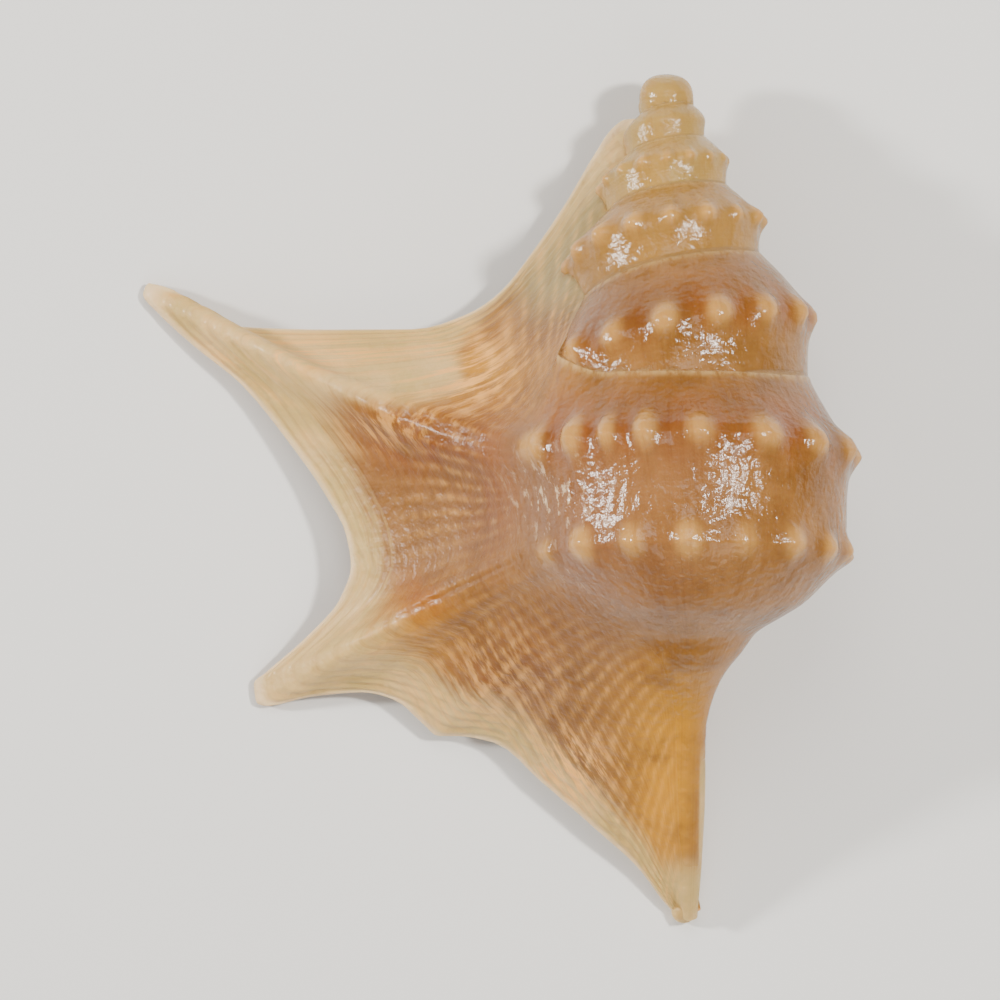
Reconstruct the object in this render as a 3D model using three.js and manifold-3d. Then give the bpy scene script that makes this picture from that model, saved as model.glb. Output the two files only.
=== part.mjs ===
// A pelican's foot sea shell, lying on its mouth: one grown piece of shell.
// Millimetres. +Z is up, away from the surface it rests on; +Y points to the tip of the spire;
// the flared lip with its toes spreads towards -X. The origin is under the middle, on that surface.
import * as THREE from "three";
import { mergeVertices } from "three/addons/utils/BufferGeometryUtils.js";
import Module from "manifold-3d";

const wasm = await Module();
wasm.setup();

// Driving dimensions
const LENGTH = 42; // tip of the spire to the tip of the siphon toe
const WIDTH = 35.6; // tip of the upper toe to the knobs on the far side
const WALL = 0.7; // thickness of the last turn
const WING_WALL = 0.95; // thickness of the flared lip
const RIM_WALL = 0.4; // thickness at the very edge of the lip
const TOE_SWELL = 0.75; // how far the ribs stand above the flared lip
const KNOB_HEIGHT = 0.5; // on the shoulder of the last turn
const LOW_KNOB_HEIGHT = 0.3; // on the second keel
const GLAZE = 0.45; // thickness of the glaze beside the mouth

// Turns are counted along the coil: turn 0 is on the +X side of the last whorl, and the count
// rises over the back to the lip. Stations are distances from the imagined point of the spire,
// measured along -Y. Rows run with the coil: row 0 is the suture, and row 1 the siphon's tip.
const CROWN_STATION = 4.25; // middle of the worn tip
const CROWN_RADIUS = 1.35;
const TIP_STATION = 44.6;
const TIP_RADIUS = 0.62; // of the siphon's rounded end
const FIRST_TURN = -4.7;
const CORE_END = -0.3563; // where the inner coil stops and the last turn takes over
const FIRST_EDGE = -0.455; // where the last turn begins, under the glaze
const KEEL_1 = 0.25;
const KEEL_2 = 0.5;
const KEEL_3 = 0.63;
const TUCK = 0.35; // how deep the last turn's upper edge sits in the turn before
const POINT_X = 8.02; // the imagined point of the spire
const POINT_Y = 23.92;

// How finely each surface is cut
const CORE_COLUMNS = 64; // per turn
const CORE_SHARES = [0, 0.5, 1, 1.3, 1.65]; // 1 is the keel, 2 the next suture
const BASE_ROWS = 5;
const BODY_COLUMNS = 42; // over the first part of the last turn
const CROWDED_COLUMNS = 24; // over the rest, where the knobs crowd together
const CROWDED_FROM = 0.75;
const LIP_COLUMNS = 10;
const SHORTEST_EDGE = 0.02;

// A smooth curve through [position, value] pairs that never overshoots them and holds its ends.
function through(pairs) {
  const n = pairs.length;
  const step = pairs.slice(1).map((p, i) => p[0] - pairs[i][0]);
  const rise = step.map((h, i) => (pairs[i + 1][1] - pairs[i][1]) / h);
  const slope = pairs.map((p, i) => {
    if (i === 0) return rise[0];
    if (i === n - 1) return rise[n - 2];
    if (rise[i - 1] * rise[i] <= 0) return 0;
    const before = 2 * step[i] + step[i - 1];
    const after = step[i] + 2 * step[i - 1];
    return (before + after) / (before / rise[i - 1] + after / rise[i]);
  });
  return (x) => {
    if (x <= pairs[0][0]) return pairs[0][1];
    if (x >= pairs[n - 1][0]) return pairs[n - 1][1];
    let i = 0;
    while (x > pairs[i + 1][0]) i++;
    const h = step[i];
    const t = (x - pairs[i][0]) / h;
    const far = t * t * (3 - 2 * t);
    return (
      pairs[i][1] * (1 - far) +
      pairs[i + 1][1] * far +
      h * t * (1 - t) * ((1 - t) * slope[i] - t * slope[i + 1])
    );
  };
}

// A point that follows rows of [position, x, y, z].
function track(rows) {
  const [x, y, z] = [1, 2, 3].map((k) => through(rows.map((row) => [row[0], row[k]])));
  return (t) => new THREE.Vector3(x(t), y(t), z(t));
}

const { smoothstep, lerp, clamp } = THREE.MathUtils;
const bell = (x, centre, width) => Math.exp(-(((x - centre) / width) ** 2));

// The coil's centre line by station: it dips towards the spire, and bends down to the siphon.
const axisX = through([
  [0, POINT_X],
  [27, 9.65],
  [29, 9.74],
  [31, 9.59],
  [34, 9.4],
  [38, 9.27],
  [TIP_STATION, 9.3],
]);
const axisZ = through([
  [0, 2.07],
  [21.6, 8.05],
  [25, 8.95],
  [28, 9.35],
  [31, 8.7],
  [35, 6.3],
  [40, 3.0],
  [TIP_STATION, 0.75],
]);
// Which way a cross-section's upper side leans along Y.
const lean = through([
  [27, 0.267],
  [30, 0.1],
  [33, -0.2],
  [38, -0.35],
]);

// A point at a distance from the centre line, at an angle from +X over the back.
function around(station, reach, angle) {
  const tip = lean(station);
  const up = reach * Math.sin(angle);
  return new THREE.Vector3(
    axisX(station) + reach * Math.cos(angle),
    POINT_Y - station + up * tip,
    axisZ(station) + up * Math.sqrt(1 - tip * tip),
  );
}

// Stations of the suture and of the shoulder keel along the coil, and the keel's radius.
const sutureStation = through([
  [-5.5, 2.6],
  [-5, 3.07],
  [-4, 4.29],
  [-3, 6.01],
  [-2, 8.42],
  [-1, 11.8],
  [-0.5, 14.6],
  [0, 17.89],
  [0.15, 19.06],
  [0.25, 19.33],
  [0.35, 19.1],
  [0.433, 17.4],
  [0.5, 15.5],
]);
const keelStation = through([
  [-5.5, 3.1],
  [-5, 3.66],
  [-4, 5.13],
  [-3, 7.19],
  [-2, 10.18],
  [-1, 15.0],
  [-0.5, 18.6],
  [0, 21.65],
  [0.1, 22.4],
  [0.25, 22.75],
  [0.43, 22.45],
]);
const keelRadius = through([
  [-5.5, 1.0],
  [-5, 1.25],
  [-4, 1.88],
  [-3, 2.85],
  [-2, 4.3],
  [-1, 6.45],
  [0, 8.0],
  [0.25, 8.55],
  [0.43, 8.8],
]);

// The last turn's profile at turn 0, by row: station, radius, how far the row keeps its own
// station while the coil climbs, and how much its radius grows with the coil.
const rowStation = through([
  [KEEL_1, 21.65],
  [0.28, 22.4],
  [0.35, 23.6],
  [0.42, 24.9],
  [0.47, 25.9],
  [KEEL_2, 26.6],
  [0.53, 27.2],
  [0.58, 28.0],
  [KEEL_3, 29.0],
  [0.67, 29.6],
  [0.72, 30.4],
  [0.76, 31.3],
  [0.8, 32.5],
  [0.86, 35.2],
  [0.9, 38.0],
  [1, TIP_STATION],
]);
const rowRadius = through([
  [KEEL_1, 8.0],
  [0.28, 7.85],
  [0.35, 7.6],
  [0.42, 7.5],
  [0.47, 7.45],
  [KEEL_2, 7.5],
  [0.53, 7.1],
  [0.58, 6.25],
  [KEEL_3, 5.15],
  [0.67, 4.2],
  [0.72, 3.0],
  [0.76, 2.4],
  [0.8, 1.55],
  [0.83, 1.1],
  [0.86, 0.85],
  [0.9, 0.93],
  [0.95, 0.8],
  [1, 0.55],
]);
const rowStays = through([
  [0.5, 0],
  [0.58, 0.05],
  [0.67, 0.4],
  [0.76, 0.85],
  [0.84, 1],
  [1, 1],
]);
const rowGrows = through([
  [0.5, 1],
  [0.62, 0.85],
  [0.72, 0.5],
  [0.84, 0.1],
  [1, 0],
]);

// Station and radius of a row below the keel, where the coil doesn't depend on the turn before.
function lowerRow(turn, row) {
  const scale = keelRadius(turn) / keelRadius(0);
  const climbed = keelStation(turn) + (rowStation(row) - rowStation(KEEL_1)) * Math.min(scale, 1);
  const grown = rowRadius(row) * Math.pow(scale, rowGrows(row));
  return {
    station: lerp(climbed, rowStation(row), rowStays(row)),
    radius: grown,
  };
}

// The row at which the next turn's suture covers this one.
function coveredRow(turn) {
  const target = sutureStation(turn + 1);
  let [low, high] = [KEEL_1, 0.6];
  for (let k = 0; k < 24; k++) {
    const middle = (low + high) / 2;
    if (lowerRow(turn, middle).station < target) low = middle;
    else high = middle;
  }
  return (low + high) / 2;
}

// How rounded the slope between the suture and the keel is.
const shoulder = through([
  [-4, 0.2],
  [-2, 0.12],
  [-1, 0.15],
  [-0.2, -0.04],
]);

// Above the keel a row is a share of the way down from the suture.
function profile(turn, row) {
  if (row >= KEEL_1) return lowerRow(turn, row);
  const sutureRadius = lowerRow(turn - 1, coveredRow(turn - 1)).radius;
  const share = Math.max(row, 0) / KEEL_1;
  const bulge = shoulder(turn) * keelRadius(turn) * share * (1 - share);
  return {
    station: lerp(sutureStation(turn), keelStation(turn), share),
    radius: lerp(sutureRadius, keelRadius(turn), share) + bulge,
  };
}

// Knobs are counted along the coil too, sixteen to a turn until they crowd towards the lip.
const upperCount = through([
  [-6, -97.8],
  [0.05, -1],
  [0.117, 0],
  [0.178, 1],
  [0.244, 2],
  [0.2945, 3],
  [0.331, 4],
  [0.368, 5],
  [0.43, 6.3],
]);
const lowerCount = (turn) => 17.8 * (turn - 0.091);

// Knobs along the two keels: a ripple round the coil, fading above and below each keel.
function ripple(count) {
  return 0.5 + 0.5 * Math.cos(2 * Math.PI * count);
}
function knobs(turn, row) {
  const size = keelRadius(turn) / keelRadius(0);
  const upper = bell(profile(turn, row).station, keelStation(turn), size);
  const lower = bell(row, KEEL_2, 0.035);
  return (
    KNOB_HEIGHT * Math.sqrt(size) * smoothstep(turn, -3.6, -2.2) * ripple(upperCount(turn)) * upper +
    LOW_KNOB_HEIGHT * smoothstep(turn, -1, -0.2) * ripple(lowerCount(turn)) * lower
  );
}

// A point of the coil's outside.
function coil(turn, row, raise = 0) {
  const { station, radius } = profile(turn, row);
  return around(station, radius + raise, 2 * Math.PI * turn);
}

// Even positions from 0 to 1 for a line of points.
function spread(line) {
  return line.map((_, k) => k / (line.length - 1));
}

// Collects the triangles of one closed solid.
class Skin {
  constructor() {
    this.points = [];
    this.faces = [];
  }
  add(point) {
    return this.points.push(point) - 1;
  }
  quad(a, b, c, d) {
    this.faces.push([a, b, c], [a, c, d]);
  }
  // Fills the gap between two lines of points that run side by side, each with its positions.
  zip(left, right, leftAt = spread(left), rightAt = spread(right)) {
    let [i, j] = [0, 0];
    while (i < left.length - 1 || j < right.length - 1) {
      const leftDone = i === left.length - 1;
      if (j === right.length - 1 || (!leftDone && leftAt[i + 1] <= rightAt[j + 1])) {
        this.faces.push([left[i], left[i + 1], right[j]]);
        i++;
      } else {
        this.faces.push([left[i], right[j + 1], right[j]]);
        j++;
      }
    }
  }
  geometry() {
    const kept = this.faces.filter(([a, b, c]) => a !== b && b !== c && a !== c);
    const positions = kept.flatMap((face) => face.flatMap((k) => this.points[k].toArray()));
    const made = new THREE.BufferGeometry();
    made.setAttribute("position", new THREE.Float32BufferAttribute(positions, 3));
    return made;
  }
}

// A closed sheet. Its outside is two grids side by side, cut into different rows; its inside is
// one grid. Each grid has its row positions and its lines of points.
function sheet(first, second, inside) {
  const skin = new Skin();
  const place = (grid, flip) => {
    const lines = grid.lines.map((line) => line.map((point) => skin.add(point)));
    for (let i = 0; i < lines.length - 1; i++)
      for (let j = 0; j < grid.rows.length - 1; j++) {
        const corners = [lines[i][j], lines[i + 1][j], lines[i + 1][j + 1], lines[i][j + 1]];
        skin.quad(...(flip ? corners.reverse() : corners));
      }
    return lines;
  };
  const [start, end, under] = [place(first, false), place(second, false), place(inside, true)];
  const top = [...start, ...end];
  skin.zip(end[0], start.at(-1), second.rows, first.rows);
  skin.zip(start[0], under[0], first.rows, inside.rows);
  skin.zip(under.at(-1), end.at(-1), inside.rows, second.rows);
  const edgeOf = (lines, j) => lines.map((line) => line.at(j));
  skin.zip(edgeOf(under, 0), edgeOf(top, 0), inside.columns, [...first.columns, ...second.columns]);
  skin.zip(edgeOf(top, -1), edgeOf(under, -1), [...first.columns, ...second.columns], inside.columns);
  return skin.geometry();
}

// The spire and the inner coil: one solid whose upper rows wind on themselves without a break.
function coreGeometry() {
  const skin = new Skin();
  const total = Math.round((CORE_END - FIRST_TURN) * CORE_COLUMNS);
  const turnOf = (i) => CORE_END - (total - i) / CORE_COLUMNS;
  const lastTurnStart = total - CORE_COLUMNS;
  const openRow = coveredRow(turnOf(lastTurnStart));
  const rod = through([
    [0.6, 1],
    [0.7, 0.9],
    [0.8, 0.8],
    [1, 0.75],
  ]);
  const point = (i, row) => {
    const turn = turnOf(i);
    const slimmer = row > 0.6 ? profile(turn, row).radius * (rod(row) - 1) : 0;
    const sunk = 0.3 * smoothstep(turn, CORE_END - 0.12, CORE_END);
    const pinched = 0.3 * (1 - smoothstep(turn, FIRST_TURN, FIRST_TURN + 0.4));
    return coil(turn, row, knobs(turn, row) + slimmer - sunk - pinched);
  };
  const rowOf = (i, share) => {
    if (share <= 1) return KEEL_1 * share;
    const end = i < lastTurnStart ? coveredRow(turnOf(i)) : openRow;
    return lerp(KEEL_1, end, share - 1);
  };
  const grid = [];
  for (let i = 0; i <= total; i++) {
    grid.push(CORE_SHARES.map((share) => skin.add(point(i, rowOf(i, share)))));
  }
  const tip = skin.add(around(TIP_STATION - 0.6, 0, 0));
  for (let i = 0; i <= total; i++) {
    const joined = i + CORE_COLUMNS;
    if (joined <= total) grid[i].push(grid[joined][0]);
    else grid[i].push(skin.add(point(i, openRow)));
    if (i < lastTurnStart) continue;
    for (let k = 1; k < BASE_ROWS; k++) {
      grid[i].push(skin.add(point(i, lerp(openRow, 0.95, (k / (BASE_ROWS - 1)) ** 0.8))));
    }
    grid[i].push(tip);
  }
  for (let i = 0; i < total; i++) {
    const rows = CORE_SHARES.length + (i < lastTurnStart ? 0 : BASE_ROWS);
    for (let j = 0; j < rows; j++)
      skin.quad(grid[i][j], grid[i + 1][j], grid[i + 1][j + 1], grid[i][j + 1]);
  }
  skin.zip(grid[lastTurnStart].slice(CORE_SHARES.length), grid[total]);
  const crown = skin.add(around(CROWN_STATION - 0.6, 0, 0));
  const brim = grid.slice(0, CORE_COLUMNS).map((line) => line[0]);
  brim.push(...grid[0].slice(0, CORE_SHARES.length + 1).reverse());
  for (let k = 0; k < brim.length - 1; k++) skin.faces.push([crown, brim[k + 1], brim[k]]);
  return skin.geometry();
}

// A blunt rounded end, at a place along the centre line. Fullness 2 is a ball.
function endGeometry(station, radius, drop = 0, fullness = 2) {
  const ball = new THREE.SphereGeometry(radius, 16, 10);
  const { x, y, z } = around(station, 0, 0);
  const places = ball.attributes.position;
  for (let k = 0; k < places.count; k++) {
    const point = new THREE.Vector3().fromBufferAttribute(places, k);
    const out = Math.hypot(point.x, point.z) / radius;
    const full = (out ** fullness + Math.abs(point.y / radius) ** fullness) ** (1 / fullness);
    point.divideScalar(full);
    places.setXYZ(k, point.x, point.y, point.z);
  }
  ball.rotateX(Math.PI / 12);
  ball.translate(x, y, z - drop);
  ball.deleteAttribute("normal");
  ball.deleteAttribute("uv");
  return ball;
}

// The flared lip. Its rows leave the last turn here ...
const lipTurn = through([
  [0.55, 0.42],
  [KEEL_3, 0.37],
  [0.72, 0.3],
  [0.8, 0.27],
  [1, 0.25],
]);
const leaveLength = through([
  [0, 0.3],
  [0.1, 1.5],
  [0.2, 4.2],
  [0.35, 5.6],
  [0.55, 4.6],
  [0.7, 2.6],
  [0.85, 1.2],
  [1, 0.3],
]);
// ... bend over towards a guide ...
const guide = track([
  [0, 6.4, 12.8, 4.4],
  [0.05, 4.3, 12.2, 4.3],
  [0.1, 2.0, 10.3, 4.2],
  [0.16, -0.8, 8.2, 4.3],
  [0.2, -4.4, 7.2, 3.9],
  [0.22, -7.8, 6.6, 3.3],
  [KEEL_1, -9.4, 6.4, 3.2],
  [0.28, -8.2, 5.0, 3.3],
  [0.35, -5.3, 0.8, 3.9],
  [0.42, -4.3, -2.9, 4.2],
  [0.47, -5.6, -5.6, 3.5],
  [KEEL_2, -6.6, -6.9, 2.9],
  [0.53, -4.9, -7.6, 3.4],
  [0.58, -2.6, -8.2, 4.4],
  [KEEL_3, -0.4, -9.2, 5.1],
  [0.72, 3.4, -11.6, 5.6],
  [0.8, 5.9, -13.6, 5.0],
  [0.9, 7.9, -17.0, 3.0],
  [1, 9.2, -20.2, 1.2],
]);
// ... and end on the edge with its toes.
const edge = track([
  [0, 6.9, 18.95, 2.8],
  [0.012, 6.2, 18.9, 2.4],
  [0.025, 5.55, 18.47, 2.2],
  [0.045, 4.75, 17.3, 2.0],
  [0.08, 3.2, 14.65, 1.9],
  [0.11, 1.6, 12.3, 1.95],
  [0.14, 0.05, 10.36, 2.2],
  [0.16, -1.7, 9.2, 2.3],
  [0.18, -4.4, 8.5, 2.2],
  [0.2, -8.3, 8.5, 1.9],
  [0.22, -13.1, 8.68, 1.2],
  [0.232, -15.0, 9.7, 0.8],
  [0.243, -16.9, 10.75, 0.45],
  [0.248, -17.45, 10.8, 0.35],
  [0.252, -17.75, 10.2, 0.35],
  [0.257, -17.0, 9.25, 0.45],
  [0.268, -15.2, 7.6, 0.8],
  [0.285, -12.9, 5.75, 1.2],
  [0.315, -10.5, 2.85, 1.6],
  [0.35, -8.7, 0.3, 2.1],
  [0.385, -7.65, -1.7, 2.5],
  [0.42, -7.4, -3.3, 2.6],
  [0.45, -8.0, -5.0, 2.2],
  [0.472, -9.9, -7.05, 1.3],
  [0.488, -11.7, -8.6, 0.6],
  [0.496, -12.25, -9.15, 0.35],
  [0.502, -12.1, -10.1, 0.35],
  [0.508, -11.5, -10.3, 0.45],
  [0.52, -9.5, -9.85, 0.8],
  [0.54, -6.9, -9.6, 1.2],
  [0.56, -5.3, -9.95, 1.3],
  [0.59, -3.9, -11.1, 1.2],
  [0.615, -3.0, -11.8, 1.0],
  [0.635, -2.0, -11.8, 1.0],
  [0.66, -0.3, -12.1, 1.3],
  [0.71, 2.0, -14.0, 1.6],
  [0.78, 4.7, -16.35, 1.6],
  [0.86, 6.9, -18.35, 1.2],
  [0.93, 8.25, -20.1, 0.7],
  [0.97, 8.75, -20.55, 0.6],
  [1, 9.2, -20.7, 0.55],
]);
const TURN_STEP = 0.004;

// Where the ribs that end in toes run, as a height from 0 to 1.
function ribs(row) {
  return bell(row, KEEL_1, 0.03) + bell(row, KEEL_2, 0.028) + 0.5 * bell(row, KEEL_3, 0.03);
}

// The flared lip's outside, at a share of the way from the last turn to the edge.
function wing(share, row) {
  const turn = lipTurn(row);
  const start = coil(turn, row, knobs(turn, row));
  const forward = coil(turn, row)
    .sub(coil(turn - TURN_STEP, row))
    .normalize();
  const bend = new THREE.CubicBezierCurve3(
    start,
    start.clone().addScaledVector(forward, leaveLength(row)),
    guide(row),
    edge(row),
  );
  const point = bend.getPoint(share);
  const swell = smoothstep(share, 0.1, 0.7) * (1 - 0.8 * smoothstep(share, 0.75, 1));
  point.z += TOE_SWELL * ribs(row) * swell;
  return point;
}

// The last turn begins under the glaze on the mouth side, and ever later towards the siphon.
const startTurn = through([
  [0.6, FIRST_EDGE],
  [0.72, -0.34],
  [0.82, -0.17],
  [1, -0.12],
]);

// The last turn and the flared lip as one surface: along 0 to 1 is the turn, 1 to 2 the lip.
// Rows below 0 are tucked into the turn before.
function lastTurn(along, row, bare = false) {
  if (along > 1) return wing(along - 1, Math.max(row, 0));
  const turn = lerp(startTurn(row), lipTurn(row), along);
  const buried = row < 0.7 ? smoothstep(turn, FIRST_EDGE, FIRST_EDGE + 0.08) - 1 : 0;
  if (row >= 0) return coil(turn, row, 0.3 * buried + (bare ? 0 : knobs(turn, row)));
  return around(sutureStation(turn) - TUCK, profile(turn, 0).radius - TUCK, 2 * Math.PI * turn);
}

// The inside of the same wall, which is thin at the edge and thick along the flared lip.
const NUDGE = 0.01;
function lastTurnInside(along, row) {
  const [x, y] = [clamp(along, NUDGE, 2 - NUDGE), clamp(row, NUDGE, 0.985)];
  const across = lastTurn(x + NUDGE / 2, y, true).sub(lastTurn(x - NUDGE / 2, y, true));
  const down = lastTurn(x, y + NUDGE / 2, true).sub(lastTurn(x, y - NUDGE / 2, true));
  const outward = across.cross(down).normalize();
  const body = Math.min(WALL, 0.5 * profile(0, y).radius);
  const flared = lerp(body, WING_WALL + 0.35 * ribs(row), smoothstep(along, 1, 1.35));
  const thickness = lerp(flared, RIM_WALL, smoothstep(along, 1.75, 2));
  return lastTurn(along, row, true).addScaledVector(outward, -thickness);
}

// Where the last turn and the lip are cut into rows: more of them round the toes.
const BODY_ROWS = [
  -0.03, 0, 0.07, 0.14, 0.2, KEEL_1, 0.285, 0.35, 0.42, 0.465, KEEL_2, 0.535, 0.58, KEEL_3, 0.67, 0.72,
  0.76, 0.8, 0.86, 0.93, 1,
];
const LIP_ROWS = [
  -0.03, 0, 0.012, 0.025, 0.045, 0.08, 0.11, 0.14, 0.16, 0.18, 0.2, 0.22, 0.232, 0.243, 0.248, 0.252,
  0.257, 0.268, 0.285, 0.315, 0.35, 0.385, 0.42, 0.45, 0.472, 0.488, 0.496, 0.502, 0.508, 0.52, 0.54,
  0.56, 0.59, 0.615, 0.635, 0.66, 0.71, 0.76, 0.81, 0.87, 0.93, 0.97, 1,
];
const INNER_ROWS = [
  -0.03, 0, 0.04, 0.14, 0.19, 0.22, 0.24, 0.25, 0.26, 0.285, 0.35, 0.42, 0.465, 0.488, 0.499, 0.51,
  0.54, 0.6, 0.635, 0.7, 0.8, 0.9, 1,
];

function lastTurnGeometry() {
  const grid = (columns, rows, place) => ({
    rows,
    columns,
    lines: columns.map((along) => rows.map((row) => place(along, row))),
  });
  const steps = (from, to, count) => Array.from({ length: count + 1 }, (_, k) => lerp(from, to, k / count));
  const crowded = steps(CROWDED_FROM, 1, CROWDED_COLUMNS).slice(1, -1);
  const turning = [...steps(0, CROWDED_FROM, BODY_COLUMNS), ...crowded];
  const body = grid(turning, BODY_ROWS, lastTurn);
  const lip = grid(steps(1, 2, LIP_COLUMNS), LIP_ROWS, lastTurn);
  const inner = [...steps(0, 1, 11).slice(0, -1), ...steps(1, 2, 6)];
  return sheet(body, lip, grid(inner, INNER_ROWS, lastTurnInside));
}

// The glaze: a thin pad over the mouth side of the last turn and down the siphon's near edge.
function glazeGeometry() {
  const rows = [0.04, 0.14, KEEL_1, 0.37, 0.49, 0.56, 0.62, 0.67, 0.72, 0.77, 0.82, 0.88, 0.95];
  const columns = [0, 0.12, 0.35, 0.65, 0.88, 1];
  const place = (depth) => (across, row) => {
    const width = lerp(0.3, 0.16, smoothstep(row, 0.6, 0.85));
    const turn = startTurn(row) - 0.05 + width * across;
    const ends = smoothstep(row, 0, 0.15) * (1 - smoothstep(row, 0.8, 0.93));
    const pad = (GLAZE + 0.2) * Math.sin(Math.PI * across) ** 0.7 * ends - 0.2;
    return coil(turn, row, pad - depth * Math.min(0.8, 0.5 * profile(0, row).radius));
  };
  const grid = (depth) => ({
    rows,
    columns,
    lines: columns.map((across) => rows.map((row) => place(depth)(across, row))),
  });
  const [outer, inner] = [grid(0), grid(1)];
  const first = { ...outer, columns: columns.slice(0, 3), lines: outer.lines.slice(0, 3) };
  const second = { ...outer, columns: columns.slice(3), lines: outer.lines.slice(3) };
  return sheet(first, second, inner);
}

// A closed geometry as a solid that can be joined and cut.
function solid(geometry) {
  const merged = mergeVertices(geometry, 1e-4);
  const triangles = [];
  const index = merged.index.array;
  for (let k = 0; k < index.length; k += 3) {
    const [a, b, c] = [index[k], index[k + 1], index[k + 2]];
    if (a !== b && b !== c && a !== c) triangles.push(a, b, c);
  }
  return new wasm.Manifold(
    new wasm.Mesh({
      numProp: 3,
      vertProperties: merged.attributes.position.array,
      triVerts: new Uint32Array(triangles),
    }),
  );
}

// The faces of the biggest connected skin: specks of air left inside the wall are filled.
function largestBody(faces) {
  const owner = new Map();
  const find = (k) => {
    while (owner.has(k) && owner.get(k) !== k) k = owner.get(k);
    return k;
  };
  for (const [a, b, c] of faces) {
    owner.set(find(a), find(c));
    owner.set(find(b), find(c));
  }
  const bodies = Map.groupBy(faces, (face) => find(face[0]));
  return [...bodies.values()].sort((a, b) => b.length - a.length)[0];
}

// A joined solid as a geometry, with edges too short to see drawn together.
function geometryOf(made) {
  const mesh = made.getMesh();
  const points = Array.from({ length: mesh.vertProperties.length / 3 }, (_, k) =>
    new THREE.Vector3().fromArray(mesh.vertProperties, 3 * k));
  const owner = points.map((_, k) => k);
  const find = (k) => {
    while (owner[k] !== k) k = owner[k];
    return k;
  };
  for (let k = 0; k < mesh.triVerts.length; k++) {
    const a = find(mesh.triVerts[k]);
    const b = find(mesh.triVerts[k % 3 === 2 ? k - 2 : k + 1]);
    const short = points[a].distanceTo(points[b]) < SHORTEST_EDGE;
    if (a !== b && short) owner[Math.max(a, b)] = Math.min(a, b);
  }
  const faces = new Map();
  for (let k = 0; k < mesh.triVerts.length; k += 3) {
    const face = [0, 1, 2].map((n) => find(mesh.triVerts[k + n]));
    if (new Set(face).size < 3) continue;
    const key = [...face].sort((a, b) => a - b).join();
    if (faces.has(key)) faces.delete(key);
    else faces.set(key, face);
  }
  const geometry = new THREE.BufferGeometry();
  const skin = largestBody([...faces.values()]);
  const corners = skin.flatMap((face) => face.flatMap((k) => points[k].toArray()));
  geometry.setAttribute("position", new THREE.Float32BufferAttribute(corners, 3));
  return mergeVertices(geometry, 1e-5);
}

// A wide flat block below the resting surface, for cutting the underside level.
function ground() {
  const block = new THREE.BoxGeometry(2 * WIDTH, 2 * LENGTH, 10);
  block.translate(0, 0, -5);
  block.deleteAttribute("normal");
  block.deleteAttribute("uv");
  return solid(block);
}

const parts = [
  coreGeometry(),
  endGeometry(CROWN_STATION, CROWN_RADIUS, 0, 2.7),
  lastTurnGeometry(),
  glazeGeometry(),
  endGeometry(TIP_STATION - 0.28, TIP_RADIUS, 0.2),
].map(solid);
const whole = parts.reduce((a, b) => a.add(b)).subtract(ground());

const material = new THREE.MeshStandardMaterial({ color: 0xc98d5a, roughness: 0.3, metalness: 0 });
const shell = new THREE.Mesh(geometryOf(whole), material);
shell.name = "shell";
const group = new THREE.Group();
group.add(shell);

export default group;
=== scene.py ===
# %% [markdown]
# # A pelican's foot shell
#
# A sea snail builds this shell as one piece. It starts at the tip of the spire, winds a widening
# coil down to the last turn, and at the end spreads its lip into a flat wing with pointed toes.
# The shell lies on its mouth, so the camera above it sees the back of every turn.
#
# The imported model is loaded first. It is the fixed frame: it says where the shell is and how big
# it may be. The detailed shell that is made here takes its place.

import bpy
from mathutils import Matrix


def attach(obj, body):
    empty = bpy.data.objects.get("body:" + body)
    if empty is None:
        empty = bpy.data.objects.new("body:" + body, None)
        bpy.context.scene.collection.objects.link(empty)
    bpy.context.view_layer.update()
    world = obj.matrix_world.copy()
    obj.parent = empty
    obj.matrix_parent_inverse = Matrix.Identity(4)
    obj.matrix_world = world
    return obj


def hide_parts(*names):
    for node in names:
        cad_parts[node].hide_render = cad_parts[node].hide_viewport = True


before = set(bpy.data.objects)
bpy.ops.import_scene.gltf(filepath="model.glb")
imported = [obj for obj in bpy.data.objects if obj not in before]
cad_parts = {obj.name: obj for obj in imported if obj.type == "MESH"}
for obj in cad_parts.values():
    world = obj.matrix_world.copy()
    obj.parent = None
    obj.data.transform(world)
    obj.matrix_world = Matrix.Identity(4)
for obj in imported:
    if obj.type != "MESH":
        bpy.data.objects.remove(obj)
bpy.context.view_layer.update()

# %% [markdown]
# Blender's own modules come first here: `bpy` is the workbench and `bmesh` opens up a mesh to count
# its edges. NumPy works on all the points of a surface in one go, which a loop could do only slowly.

# %% Modules for the work
import math

import bmesh
import bpy
import numpy as np
from mathutils import Vector
from mathutils.kdtree import KDTree

# %% [markdown]
# ## Smooth curves to steer the coil
#
# A shell is grown, not assembled, so its shape is a rule and not a stack of primitives. A hand
# could pull a tube along a spiral curve, but the turns of this shell also overlap and change
# their profile, so each point is placed by its turn and its row. The steering values are curves
# through a few pairs of numbers. They rise and fall smoothly and never overshoot a pair.

# %% Curves through pairs
def through(pairs):
    at, value = np.array(pairs, float).T
    step = np.diff(at)
    rise = np.diff(value) / step
    slope = np.concatenate([rise[:1], np.zeros(len(at) - 2), rise[-1:]])
    for i in range(1, len(at) - 1):
        if rise[i - 1] * rise[i] > 0:
            before, after = 2 * step[i] + step[i - 1], step[i] + 2 * step[i - 1]
            slope[i] = (before + after) / (before / rise[i - 1] + after / rise[i])

    def curve(x):
        x = np.clip(np.asarray(x, float), at[0], at[-1])
        i = np.clip(np.searchsorted(at, x, side="right") - 1, 0, len(step) - 1)
        t = (x - at[i]) / step[i]
        far = t * t * (3 - 2 * t)
        bend = step[i] * t * (1 - t) * ((1 - t) * slope[i] - t * slope[i + 1])
        return value[i] * (1 - far) + value[i + 1] * far + bend

    return curve


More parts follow.
